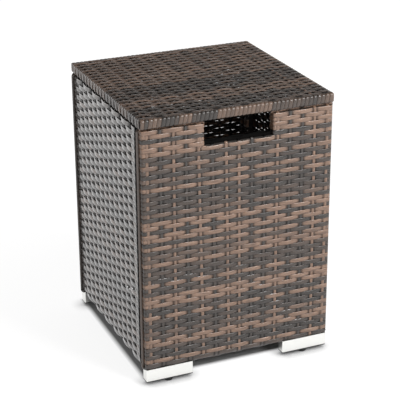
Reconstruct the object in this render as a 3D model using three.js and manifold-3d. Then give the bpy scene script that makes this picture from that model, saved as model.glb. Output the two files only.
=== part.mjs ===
// A woven cover for a gas bottle with a lift-off table top.
// Millimetres, +Z up. The origin is on the floor under the middle of the box, and the front faces -Y.
import * as THREE from 'three';
import { mergeVertices } from 'three/addons/utils/BufferGeometryUtils.js';
import Module from 'manifold-3d';

const wasm = await Module();
wasm.setup();

// Overall
const tableSide = 400; // the square lid, edge to edge
const tableHeight = 550; // floor to table top
const lidOverhang = 2.5; // lid past the body on every side
const lidThickness = 20;
const lidRestGap = 2.5; // air between lid and body, set by the bumpers

// Woven panels
const panelThickness = 20;
const panelJointGap = 3; // between a side panel and the panel that it is bolted to
const skinThickness = 3; // woven strands over a window
const panelEdgeRound = 5; // along the rims of both faces
const lidEdgeRound = 3;
const cornerRound = 5.5; // at the corners of a panel's outline
const notchWidth = 141; // hand and hose notch in the front panel
const notchDepth = 43; // below the panel's top edge

// Weave: rows crest where they rise over an upright strand, and dip where they pass under one.
// It is cut into the lid and the two panels that stand on the feet; the side panels' skin is plain.
const weaveRelief = 1.3; // crest to dip
const crestDrop = 0.05; // from the plain rim of a face down to the crests
const plainRim = 8; // round the outside of a face, where the strands wrap over
const weaves = {
  fixed: { rowPitch: 8.53, lowestRow: 14.1, uprightPitch: 26.6, firstCrest: 1 },
  lid: { rowPitch: 8.83, lowestRow: 10.135, uprightPitch: 28.3, firstCrest: 0 },
};

// Welded frames
const tubeSide = 15;
const tubeWall = 1.2;

// Clearances and facets
const fitGap = 0.3; // between pieces that touch
const overrun = 5; // how far a cut runs past the face that it opens
const roundSides = 12;
const hexSides = 6;
const bevelSteps = 2;
const arcSteps = 2;
const mergeTolerance = 0.0001;

// Feet and glides
const footLength = 98;
const footEndInset = 1; // from the end of the panel above
const footShellHeight = 25;
const footWall = 1.8;
const footCornerRound = 2;
const plugRimHeight = 1.7;
const plugBodyHeight = 11;
const glidePadRadius = 8.5;
const glidePadHeight = 6.7;
const glidePadChamfer = 1.2;
const glideSocketDepth = 4;
const glideStemRadius = 4;
const glideStemLength = 24;

// Fasteners
const footScrewRadius = 2.1;
const footScrewHeadRadius = 4;
const footScrewHeadHeight = 2.4;
const footScrewReach = 4; // past the inside of the tube's wall
const footScrewSpacing = 60;
const boltRadius = 3;
const boltHeadRadius = 5.2;
const boltHeadHeight = 3.3;
const boltSocketRadius = 2.3;
const boltSocketDepth = 2;
const boltFlangeRadius = 7;
const boltFlangeHeight = 1.6;
const nutBodyRadius = 4.5;
const nutBodyLength = 9;
const nutFlangeRadius = 6.5;
const nutFlangeHeight = 1.2;
const boltHeightShares = [0.14, 0.86]; // of the panel's height
const boltLevels = ['low', 'high'];

// Under the lid
const locatorSide = 24;
const locatorHeight = 22;
const locatorCornerRound = 3;
const locatorPlay = 1.5; // between a block and the panels that it sits between
const locatorPegRadius = 4; // snaps into the bar above
const locatorPegReach = 5; // past the inside of the tube's wall
const locatorRelief = 12; // depth of the moulded hollow
const locatorWall = 3;
const bumperRadius = 6;
const bumperPlaceShare = 0.3; // of the table's side, from the middle

// Sizes that follow
const bodySide = tableSide - 2 * lidOverhang;
const sidePanelWidth = bodySide - 2 * (panelThickness + panelJointGap);
const wrapThickness = (panelThickness - tubeSide) / 2; // woven strands and clearance over a tube
const lidWrapThickness = (lidThickness - tubeSide) / 2;
const plugBottom = glidePadHeight + fitGap;
const footBottom = plugBottom + plugRimHeight + fitGap;
const panelBottom = footBottom + footShellHeight + fitGap;
const lidBottom = tableHeight - lidThickness;
const panelTop = lidBottom - lidRestGap;
const panelHeight = panelTop - panelBottom;
const panelMiddle = (panelTop + panelBottom) / 2;
const panelOffset = (bodySide - panelThickness) / 2; // middle of a panel from the middle of the box
const innerFace = bodySide / 2 - panelThickness;
const notchBottom = panelTop - notchDepth;
const locatorOffset = innerFace - locatorPlay - locatorSide / 2;
const footOffset = bodySide / 2 - footEndInset - footLength / 2;
const boltHeights = boltHeightShares.map((share) => panelBottom + share * panelHeight);
const sides = [-1, 1];

const finishes = {
  weave: { color: 0x5d544e, roughness: 0.5, metalness: 0 },
  frame: { color: 0x3a3430, roughness: 0.55, metalness: 0.3 },
  foot: { color: 0xe4e4e1, roughness: 0.38, metalness: 0.9 },
  plastic: { color: 0x1c1c1d, roughness: 0.6, metalness: 0 },
  rubber: { color: 0x161616, roughness: 0.85, metalness: 0 },
  steel: { color: 0xb4b6b8, roughness: 0.35, metalness: 0.9 },
};

// Solids from geometries and back

function toSolid(geometry) {
  const bare = geometry.clone();
  bare.deleteAttribute('normal');
  bare.deleteAttribute('uv');
  const merged = mergeVertices(bare, mergeTolerance);
  return new wasm.Manifold(new wasm.Mesh({
    numProp: 3,
    vertProperties: new Float32Array(merged.attributes.position.array),
    triVerts: new Uint32Array(merged.index.array),
  }));
}

function toGeometry(solid) {
  const mesh = solid.getMesh();
  const geometry = new THREE.BufferGeometry();
  geometry.setAttribute('position', new THREE.BufferAttribute(mesh.vertProperties, 3));
  geometry.setIndex(new THREE.BufferAttribute(mesh.triVerts, 1));
  return geometry;
}

const joinAll = (solids) => solids.reduce((whole, solid) => whole.add(solid));
const cutAll = (solid, cuts) => cuts.reduce((rest, cut) => rest.subtract(cut), solid);

// Basic shapes

function box(low, high) {
  const [width, depth, height] = high.map((value, i) => value - low[i]);
  const [x, y, z] = high.map((value, i) => (value + low[i]) / 2);
  return toSolid(new THREE.BoxGeometry(width, depth, height).translate(x, y, z));
}

function rod(radius, from, to, faces = roundSides) {
  const start = new THREE.Vector3(...from);
  const end = new THREE.Vector3(...to);
  const reach = end.clone().sub(start);
  const geometry = new THREE.CylinderGeometry(radius, radius, reach.length(), faces);
  const turn = new THREE.Quaternion().setFromUnitVectors(new THREE.Vector3(0, 1, 0), reach.normalize());
  const middle = start.add(end).divideScalar(2);
  return toSolid(geometry.applyQuaternion(turn).translate(middle.x, middle.y, middle.z));
}

// A closed outline of square corners, each rounded by an arc
function roundedOutline(corners, radius) {
  const shape = new THREE.Shape();
  corners.forEach((corner, i) => {
    const before = corners[(i + corners.length - 1) % corners.length];
    const after = corners[(i + 1) % corners.length];
    const back = before.clone().sub(corner).setLength(radius);
    const ahead = after.clone().sub(corner).setLength(radius);
    const centre = corner.clone().add(back).add(ahead);
    const turnsRight = back.cross(ahead) > 0;
    shape.absarc(
      centre.x, centre.y, radius, ahead.clone().negate().angle(), back.clone().negate().angle(), turnsRight,
    );
  });
  return shape;
}

function rectangle(left, bottom, right, top) {
  return [[left, bottom], [right, bottom], [right, top], [left, top]].map((at) => new THREE.Vector2(...at));
}

// A block with rounded upright corners, centred on the Z axis
function uprightBlock(length, depth, bottom, top, radius) {
  const outline = rectangle(-length / 2, -depth / 2, length / 2, depth / 2);
  const shape = roundedOutline(outline, radius);
  const settings = { depth: top - bottom, bevelEnabled: false, curveSegments: arcSteps };
  return toSolid(new THREE.ExtrudeGeometry(shape, settings).translate(0, 0, bottom));
}

// Panels: each stands in the XZ plane with its outer face towards -Y and its middle on the plane

function standingPanel(width, bottom, top, thickness, edgeRound) {
  const edge = width / 2;
  const rail = { low: bottom + thickness / 2, high: top - thickness / 2 };
  return { edge, bottom, top, thickness, edgeRound, stile: edge - thickness / 2, rail };
}

// Centre lines of the tubes, as pairs of points
function ringMembers({ stile, rail }) {
  return [
    [[-stile, rail.low], [stile, rail.low]],
    [[-stile, rail.high], [stile, rail.high]],
    ...sides.map((side) => [[side * stile, rail.low], [side * stile, rail.high]]),
  ];
}

function notchedMembers({ stile, rail }) {
  const post = notchWidth / 2 + wrapThickness + tubeSide / 2;
  const sill = notchBottom - wrapThickness - tubeSide / 2;
  return [
    [[-stile, rail.low], [stile, rail.low]],
    [[-post, sill], [post, sill]],
    ...sides.flatMap((side) => [
      [[side * stile, rail.low], [side * stile, rail.high]],
      [[side * post, sill], [side * post, rail.high]],
      [[side * post, rail.high], [side * stile, rail.high]],
    ]),
  ];
}

const midRail = ({ stile }) => [[-stile, panelMiddle], [stile, panelMiddle]];

function memberBoxes(members, half) {
  return joinAll(members.map((ends) => {
    const [along, up] = [0, 1].map((i) => ends.map((end) => end[i]));
    const low = [Math.min(...along) - half, -half, Math.min(...up) - half];
    const high = [Math.max(...along) + half, half, Math.max(...up) + half];
    return box(low, high);
  }));
}

function tubeFrame(members) {
  return memberBoxes(members, tubeSide / 2).subtract(memberBoxes(members, tubeSide / 2 - tubeWall));
}

function panelOutline({ edge, bottom, top }, hasNotch) {
  const corners = rectangle(-edge, bottom, edge, top);
  if (hasNotch) {
    const notch = rectangle(-notchWidth / 2, notchBottom, notchWidth / 2, top);
    corners.splice(3, 0, notch[2], notch[1], notch[0], notch[3]);
  }
  return roundedOutline(corners, cornerRound);
}

// Places at an even pitch from the first one, as many as fit before the end
function placesAlong(first, end, pitch) {
  return Array.from({ length: Math.floor((end - first) / pitch) + 1 }, (_, i) => first + i * pitch);
}

// What the weave leaves open before a face: the relief behind, and a flat front clear of the face
function reliefCut({ edge, bottom, top, thickness, edgeRound }, weave) {
  const half = edge - plainRim;
  const outermost = Math.floor((2 * half) / weave.uprightPitch) * weave.uprightPitch / 2;
  const uprights = placesAlong(-outermost, half, weave.uprightPitch);
  const rows = placesAlong(bottom + weave.lowestRow, top - plainRim, weave.rowPitch);
  const across = [edgeRound - edge, ...uprights, edge - edgeRound];
  const up = [bottom + edgeRound, ...rows, top - edgeRound];
  const onBorder = (i, k) => i % (across.length - 1) === 0 || k % (up.length - 1) === 0;
  const isCrest = (i, k) => (i + k) % 2 === weave.firstCrest;
  const face = -thickness / 2;
  const depthAt = (i, k) => (onBorder(i, k) ? -overrun : crestDrop + (isCrest(i, k) ? 0 : weaveRelief));
  const points = up.flatMap((z, k) => across.map((x, i) => [x, face + depthAt(i, k), z]));
  const at = (i, k) => k * across.length + i;
  const triangles = [];
  for (let k = 0; k < up.length - 1; k += 1) {
    for (let i = 0; i < across.length - 1; i += 1) {
      const [a, b, c, d] = [at(i, k), at(i + 1, k), at(i + 1, k + 1), at(i, k + 1)];
      // The fold runs from dip to dip, so that each crest stands alone
      triangles.push(...(isCrest(i, k) ? [a, d, b, b, d, c] : [a, c, b, a, d, c]));
    }
  }
  const middle = points.push([0, face - overrun, (bottom + top) / 2]) - 1;
  const closeOver = (from, to) => triangles.push(from, to, middle);
  across.slice(1).forEach((_, i) => {
    closeOver(at(i, 0), at(i + 1, 0));
    closeOver(at(i + 1, up.length - 1), at(i, up.length - 1));
  });
  up.slice(1).forEach((_, k) => {
    closeOver(at(0, k + 1), at(0, k));
    closeOver(at(across.length - 1, k), at(across.length - 1, k + 1));
  });
  const geometry = new THREE.BufferGeometry();
  geometry.setAttribute('position', new THREE.Float32BufferAttribute(points.flat(), 3));
  geometry.setIndex(triangles);
  return toSolid(geometry);
}

// Woven strands: a skin on the outer face, and a sleeve round the tubes along the outline
function wovenCover(panel, members, hasNotch) {
  const { edge, bottom, top, thickness, edgeRound } = panel;
  const settings = {
    depth: thickness - 2 * edgeRound,
    bevelThickness: edgeRound,
    bevelSize: edgeRound,
    bevelOffset: -edgeRound,
    bevelSegments: bevelSteps,
    curveSegments: arcSteps,
  };
  const slab = new THREE.ExtrudeGeometry(panelOutline(panel, hasNotch), settings);
  slab.translate(0, 0, edgeRound - thickness / 2).rotateX(Math.PI / 2);
  const skinBack = skinThickness - thickness / 2;
  const openBack = thickness / 2 + overrun;
  let window = box(
    [thickness - edge, skinBack, bottom + thickness],
    [edge - thickness, openBack, top - thickness],
  );
  if (hasNotch) {
    const rim = notchWidth / 2 + thickness;
    const kept = box([-rim, skinBack - overrun, notchBottom - thickness], [rim, openBack + overrun, top]);
    window = window.subtract(kept);
  }
  const tubes = memberBoxes(members, tubeSide / 2 + fitGap);
  return cutAll(toSolid(slab), [window, tubes]);
}

// Holes in the panels

const nutSeats = sides.flatMap((side) => boltHeights.map((height) => [side * panelOffset, height]));

function nutHoles(radius, from, to) {
  return nutSeats.map(([x, z]) => rod(radius, [x, from, z], [x, to, z]));
}

function boltHoles() {
  const outer = sidePanelWidth / 2 + overrun;
  const inner = sidePanelWidth / 2 - panelThickness - overrun;
  return sides.flatMap((side) => boltHeights.map((z) => (
    rod(boltRadius + fitGap, [side * outer, 0, z], [side * inner, 0, z])
  )));
}

function footScrewHoles() {
  const radius = footScrewRadius + fitGap;
  const top = panelBottom + wrapThickness + tubeSide / 2;
  return sides.flatMap((side) => sides.map((place) => {
    const x = side * footOffset + place * footScrewSpacing / 2;
    return rod(radius, [x, 0, panelBottom - overrun], [x, 0, top]);
  }));
}

// Front and back panels carry the rivet nuts and stand on the feet

function fixedPanel(hasNotch) {
  const panel = standingPanel(bodySide, panelBottom, panelTop, panelThickness, panelEdgeRound);
  const members = [...(hasNotch ? notchedMembers(panel) : ringMembers(panel)), midRail(panel)];
  const inside = panelThickness / 2 + overrun;
  const frameHoles = [...nutHoles(nutBodyRadius + fitGap, 0, inside), ...footScrewHoles()];
  const weaveHoles = [...nutHoles(nutFlangeRadius + fitGap, 0, inside), ...footScrewHoles()];
  return {
    frame: cutAll(tubeFrame(members), frameHoles),
    weave: cutAll(wovenCover(panel, members, hasNotch), [reliefCut(panel, weaves.fixed), ...weaveHoles]),
  };
}

function sidePanel() {
  const panel = standingPanel(sidePanelWidth, panelBottom, panelTop, panelThickness, panelEdgeRound);
  const ring = ringMembers(panel);
  return {
    frame: cutAll(tubeFrame(ring), boltHoles()),
    rail: crossTube(panel),
    weave: cutAll(wovenCover(panel, [...ring, midRail(panel)], false), boltHoles()),
  };
}

// A mid rail of its own, butted between the stiles and open at both ends
function crossTube({ stile }) {
  const half = tubeSide / 2;
  const inner = half - tubeWall;
  const reach = stile - half - fitGap;
  const bore = reach + overrun;
  const outside = box([-reach, -half, panelMiddle - half], [reach, half, panelMiddle + half]);
  return outside.subtract(box([-bore, -inner, panelMiddle - inner], [bore, inner, panelMiddle + inner]));
}

// The lid is a panel laid flat: its outer face turns up

function lidPanel() {
  const panel = standingPanel(tableSide, -tableSide / 2, tableSide / 2, lidThickness, lidEdgeRound);
  const bar = (x) => [[x, panel.rail.low], [x, panel.rail.high]];
  const members = [...ringMembers(panel), bar(0), ...sides.map((side) => bar(side * locatorOffset))];
  const holes = sides.flatMap((side) => sides.map((end) => {
    const [x, z] = [side * locatorOffset, end * locatorOffset];
    return rod(locatorPegRadius + fitGap, [x, 0, z], [x, tubeSide / 2 + overrun, z]);
  }));
  return {
    frame: cutAll(tubeFrame(members), holes),
    weave: cutAll(wovenCover(panel, members, false), [reliefCut(panel, weaves.lid)]),
  };
}

// Feet, under the ends of the front and back panels

function footShell() {
  const top = footBottom + footShellHeight;
  const shell = uprightBlock(footLength, panelThickness, footBottom, top, footCornerRound);
  const x = footLength / 2 - footWall;
  const y = panelThickness / 2 - footWall;
  const hollow = box([-x, -y, footBottom - overrun], [x, y, top - footWall]);
  const holes = sides.map((place) => {
    const at = place * footScrewSpacing / 2;
    return rod(footScrewRadius + fitGap, [at, 0, footBottom], [at, 0, top + overrun]);
  });
  return cutAll(shell, [hollow, ...holes]);
}

function footPlug() {
  const rimTop = plugBottom + plugRimHeight;
  const bodyTop = rimTop + plugBodyHeight;
  const rim = uprightBlock(footLength, panelThickness, plugBottom, rimTop, footCornerRound);
  const x = footLength / 2 - footWall - fitGap;
  const y = panelThickness / 2 - footWall - fitGap;
  const body = box([-x, -y, plugBottom], [x, y, bodyTop]);
  const stemHole = rod(glideStemRadius + fitGap, [0, 0, plugBottom - overrun], [0, 0, bodyTop + overrun]);
  return rim.add(body).subtract(stemHole);
}

function glidePad() {
  const shoulder = glidePadHeight - glidePadChamfer;
  const socket = glideStemRadius + fitGap;
  const floor = glidePadHeight - glideSocketDepth;
  const profile = [
    [0, 0],
    [glidePadRadius - glidePadChamfer, 0],
    [glidePadRadius, glidePadChamfer],
    [glidePadRadius, shoulder],
    [glidePadRadius - glidePadChamfer, glidePadHeight],
    [socket, glidePadHeight],
    [socket, floor],
    [0, floor],
  ].map((at) => new THREE.Vector2(...at));
  return toSolid(new THREE.LatheGeometry(profile, roundSides).rotateX(Math.PI / 2));
}

function glideStem() {
  const bottom = glidePadHeight - glideSocketDepth + fitGap;
  return rod(glideStemRadius, [0, 0, bottom], [0, 0, bottom + glideStemLength]);
}

// Fasteners, each drawn where it sits

function footScrew() {
  const seat = footBottom + footShellHeight - footWall - fitGap;
  const tip = panelBottom + wrapThickness + tubeWall + footScrewReach;
  const head = rod(footScrewHeadRadius, [0, 0, seat - footScrewHeadHeight], [0, 0, seat]);
  return head.add(rod(footScrewRadius, [0, 0, seat - footScrewHeadHeight], [0, 0, tip]));
}

// A stack along Y at one joint: from the inside of the side panel out to the fixed panel's tube
const headSeat = sidePanelWidth / 2 - panelThickness - fitGap;
const nutSeat = panelOffset - tubeSide / 2 - fitGap;

function panelBolt(x, end, z) {
  const flangeFace = headSeat - boltFlangeHeight;
  const headFace = flangeFace - boltHeadHeight;
  const tip = nutSeat + nutBodyLength;
  const flange = rod(boltFlangeRadius, [x, end * flangeFace, z], [x, end * headSeat, z]);
  const head = rod(boltHeadRadius, [x, end * headFace, z], [x, end * headSeat, z]);
  const shank = rod(boltRadius, [x, end * headFace, z], [x, end * tip, z]);
  const socketEnd = headFace + boltSocketDepth;
  const socket = rod(boltSocketRadius, [x, end * (headFace - overrun), z], [x, end * socketEnd, z], hexSides);
  return joinAll([flange, head, shank]).subtract(socket);
}

function rivetNut(x, end, z) {
  const flangeFace = nutSeat - nutFlangeHeight;
  const flange = rod(nutFlangeRadius, [x, end * flangeFace, z], [x, end * nutSeat, z]);
  const body = rod(nutBodyRadius, [x, end * flangeFace, z], [x, end * (nutSeat + nutBodyLength), z]);
  return flange.add(body).subtract(rod(boltRadius + fitGap, [x, 0, z], [x, end * bodySide, z]));
}

// Under the lid

function lidLocator() {
  const top = lidBottom + lidWrapThickness - fitGap;
  const bottom = top - locatorHeight;
  const block = uprightBlock(locatorSide, locatorSide, bottom, top, locatorCornerRound);
  const inner = locatorSide - 2 * locatorWall;
  const relief = uprightBlock(inner, inner, bottom - overrun, bottom + locatorRelief, locatorCornerRound);
  const tip = lidBottom + lidWrapThickness + tubeWall + locatorPegReach;
  return block.add(rod(locatorPegRadius, [0, 0, bottom + locatorRelief], [0, 0, tip])).subtract(relief);
}

const lidBumper = () => rod(bumperRadius, [0, 0, panelTop + fitGap], [0, 0, lidBottom - fitGap]);

// The assembly

const table = new THREE.Group();

function addPiece(name, solid, finish, parent = table) {
  const material = new THREE.MeshStandardMaterial(finishes[finish]);
  const piece = new THREE.Mesh(toGeometry(solid), material);
  piece.name = name;
  parent.add(piece);
  return piece;
}

function addPanel(name, pieces, turn) {
  const stand = new THREE.Group();
  stand.rotation.z = turn;
  const seat = new THREE.Group();
  seat.position.y = -panelOffset;
  stand.add(seat);
  table.add(stand);
  addPiece(`${name}_panel_frame`, pieces.frame, 'frame', seat);
  if (pieces.rail) addPiece(`${name}_panel_mid_rail`, pieces.rail, 'frame', seat);
  addPiece(`${name}_panel_weave`, pieces.weave, 'weave', seat);
}

addPanel('front', fixedPanel(true), 0);
addPanel('back', fixedPanel(false), Math.PI);
addPanel('left', sidePanel(), -Math.PI / 2);
addPanel('right', sidePanel(), Math.PI / 2);

const lid = new THREE.Group();
lid.position.z = tableHeight - lidThickness / 2;
lid.rotation.x = -Math.PI / 2;
table.add(lid);
const lidPieces = lidPanel();
addPiece('lid_frame', lidPieces.frame, 'frame', lid);
addPiece('lid_weave', lidPieces.weave, 'weave', lid);

const corners = [
  { name: 'front_left', side: -1, end: -1 },
  { name: 'front_right', side: 1, end: -1 },
  { name: 'back_left', side: -1, end: 1 },
  { name: 'back_right', side: 1, end: 1 },
];

for (const { name, side, end } of corners) {
  const foot = new THREE.Group();
  foot.position.set(side * footOffset, end * panelOffset, 0);
  table.add(foot);
  addPiece(`foot_${name}`, footShell(), 'foot', foot);
  addPiece(`foot_plug_${name}`, footPlug(), 'plastic', foot);
  addPiece(`glide_pad_${name}`, glidePad(), 'plastic', foot);
  addPiece(`glide_stem_${name}`, glideStem(), 'steel', foot);
  sides.forEach((place) => {
    const screw = addPiece(`foot_screw_${name}_${place < 0 ? 'a' : 'b'}`, footScrew(), 'steel', foot);
    screw.position.x = place * footScrewSpacing / 2;
  });
  boltHeights.forEach((height, i) => {
    const tag = `${name}_${boltLevels[i]}`;
    addPiece(`panel_bolt_${tag}`, panelBolt(side * panelOffset, end, height), 'steel');
    addPiece(`rivet_nut_${tag}`, rivetNut(side * panelOffset, end, height), 'steel');
  });
  const locator = addPiece(`lid_locator_${name}`, lidLocator(), 'plastic');
  locator.position.set(side * locatorOffset, end * locatorOffset, 0);
  const bumper = addPiece(`lid_bumper_${name}`, lidBumper(), 'rubber');
  bumper.position.set(side * panelOffset, end * bumperPlaceShare * tableSide, 0);
}

export default table;
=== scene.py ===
import math
import random

import bpy
import numpy as np
from mathutils import Matrix, Vector


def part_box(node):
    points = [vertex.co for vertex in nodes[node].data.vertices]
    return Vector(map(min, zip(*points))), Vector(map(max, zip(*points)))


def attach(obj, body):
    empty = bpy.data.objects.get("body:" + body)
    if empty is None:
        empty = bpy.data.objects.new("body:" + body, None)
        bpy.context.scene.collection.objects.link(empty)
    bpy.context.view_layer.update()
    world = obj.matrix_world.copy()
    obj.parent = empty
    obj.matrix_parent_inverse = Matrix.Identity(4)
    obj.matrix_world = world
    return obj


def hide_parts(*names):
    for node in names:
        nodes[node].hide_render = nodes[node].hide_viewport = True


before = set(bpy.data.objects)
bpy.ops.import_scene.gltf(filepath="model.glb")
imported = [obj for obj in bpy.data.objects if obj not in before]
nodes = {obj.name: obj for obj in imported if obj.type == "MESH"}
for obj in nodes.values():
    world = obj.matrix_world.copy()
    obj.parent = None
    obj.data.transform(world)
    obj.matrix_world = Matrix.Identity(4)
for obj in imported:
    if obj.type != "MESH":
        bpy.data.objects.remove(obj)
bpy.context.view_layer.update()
mm = 0.001

# The camera stands where the photograph was taken

cameraView = {
    "place": (-1.020235, -2.413121, 1.375782),
    "turn": 22.97,  # degrees, to the right of straight ahead
    "dip": 22.579,
    "roll": -0.393,
    "lens": 124.53,
    "sensor": 36.0,
    "reach": 50,  # metres
}


def makeCamera(view):
    data = bpy.data.cameras.new("camera")
    data.lens = view["lens"]
    data.sensor_width = view["sensor"]
    data.clip_end = view["reach"]
    camera = bpy.data.objects.new("camera", data)
    bpy.context.scene.collection.objects.link(camera)
    turn = math.radians(view["turn"])
    dip = math.radians(view["dip"])
    roll = math.radians(view["roll"])
    ahead = Vector((math.sin(turn) * math.cos(dip), math.cos(turn) * math.cos(dip), -math.sin(dip)))
    right = Vector((math.cos(turn), -math.sin(turn), 0))
    up = right.cross(ahead)
    rightRolled = math.cos(roll) * right + math.sin(roll) * up
    upRolled = math.cos(roll) * up - math.sin(roll) * right
    camera.matrix_world = Matrix.Translation(view["place"]) @ Matrix(
        (rightRolled, upRolled, -ahead)).transposed().to_4x4()
    bpy.context.scene.camera = camera


makeCamera(cameraView)
print("camera set")

# Node helpers


def addNode(tree, kind, inputs=None, **settings):
    node = tree.nodes.new(kind)
    for name, value in settings.items():
        setattr(node, name, value)
    for name, value in (inputs or {}).items():
        socket = node.inputs[name]
        if isinstance(value, bpy.types.NodeSocket):
            tree.links.new(value, socket)
        else:
            socket.default_value = value
    return node


def calculate(tree, operation, *values):
    return addNode(tree, "ShaderNodeMath", dict(enumerate(values)), operation=operation).outputs[0]


def readAttribute(tree, name):
    return addNode(tree, "GeometryNodeInputNamedAttribute", {"Name": name}, data_type="FLOAT").outputs[0]


def storeAttribute(tree, geometry, name, value):
    inputs = {"Geometry": geometry, "Name": name, "Value": value}
    return addNode(tree, "GeometryNodeStoreNamedAttribute", inputs, data_type="FLOAT",
                   domain="POINT").outputs[0]


def colour(red, green, blue):
    def linear(level):
        share = level / 255
        return share / 12.92 if share <= 0.04045 else ((share + 0.055) / 1.055) ** 2.4
    return (linear(red), linear(green), linear(blue), 1)


# Shader node groups

noiseRange = (0.3, 0.7)  # nearly all of a noise's values lie between these
grainLook = {"detail": 4, "roughness": 0.6}


def newShaderGroup(name, inputs, outputs):
    group = bpy.data.node_groups.new(name, "ShaderNodeTree")
    for socketName, kind, value in inputs:
        group.interface.new_socket(socketName, in_out="INPUT", socket_type=kind).default_value = value
    for socketName, kind in outputs:
        group.interface.new_socket(socketName, in_out="OUTPUT", socket_type=kind)
    return group, group.nodes.new("NodeGroupInput").outputs, group.nodes.new("NodeGroupOutput").inputs


def makeGrainGroup():
    group, given, made = newShaderGroup(
        "fineGrain",
        [("Vector", "NodeSocketVector", (0, 0, 0)), ("Scale", "NodeSocketFloat", 400),
         ("Low", "NodeSocketFloat", 0.4), ("High", "NodeSocketFloat", 0.6)],
        [("Value", "NodeSocketFloat"), ("Raw", "NodeSocketFloat")])
    noise = addNode(group, "ShaderNodeTexNoise", {
        "Vector": given["Vector"], "Scale": given["Scale"], "Detail": grainLook["detail"],
        "Roughness": grainLook["roughness"]})
    spread = addNode(group, "ShaderNodeMapRange", {
        "Value": noise.outputs["Fac"], "From Min": noiseRange[0], "From Max": noiseRange[1],
        "To Min": given["Low"], "To Max": given["High"]})
    group.links.new(spread.outputs[0], made["Value"])
    group.links.new(noise.outputs["Fac"], made["Raw"])
    return group


grainGroup = makeGrainGroup()


def newMaterial(name):
    material = bpy.data.materials.new(name)
    material.use_nodes = True
    tree = material.node_tree
    return material, tree, tree.nodes["Principled BSDF"]


def setInputs(node, values):
    for name, value in values.items():
        node.inputs[name].default_value = value


def addGrain(tree, scale, low, high, vector=None):
    if vector is None:
        vector = addNode(tree, "ShaderNodeTexCoord").outputs["Object"]
    node = addNode(tree, "ShaderNodeGroup", node_tree=grainGroup)
    setInputs(node, {"Scale": scale, "Low": low, "High": high})
    tree.links.new(vector, node.inputs["Vector"])
    return node


def addBump(tree, shader, height, strength, distance):
    bump = addNode(tree, "ShaderNodeBump", {"Height": height, "Strength": strength, "Distance": distance})
    tree.links.new(bump.outputs[0], shader.inputs["Normal"])


# Woven strand: two tones mixed along each strand, with fine ridges drawn along it

strandLook = {
    "dark": colour(35, 32, 30),
    "darkOther": colour(74, 66, 61),
    "tan": colour(176, 142, 120),
    "tanOther": colour(112, 89, 75),
    "shade": colour(14, 13, 13),  # painted shade, in a dip or a seam
    "strandStep": 7.31,  # from one strand's noise to the next one's
    "patches": {"scale": (9, 0.3), "detail": 3, "roughness": 0.6},  # scale along each metre and across
    "patchShift": 0.7,  # how far the patches move the tone
    "streaks": {"scale": (60, 4), "detail": 4, "roughness": 0.65},
    "streakEdges": (0.35, 0.65),  # one shade turns into the other between these levels
    "roughness": (0.18, 0.36),
    "coatRoughness": 0.17,
    # roughness where a strand is in painted shade
    "paintedShadeRoughness": 0.8,
    "dipStart": 0.6,  # the painted shade begins at this share of a dip's depth
    "dipShade": 0.85,  # painted shade: how much darker a strand is at the bottom of a dip
    "ridges": 7,  # across one strand
    "ridgeShare": 0.35,  # against the streaks
    "ridgeHeight": 0.1 * mm,
    "bump": 0.7,
}


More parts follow.
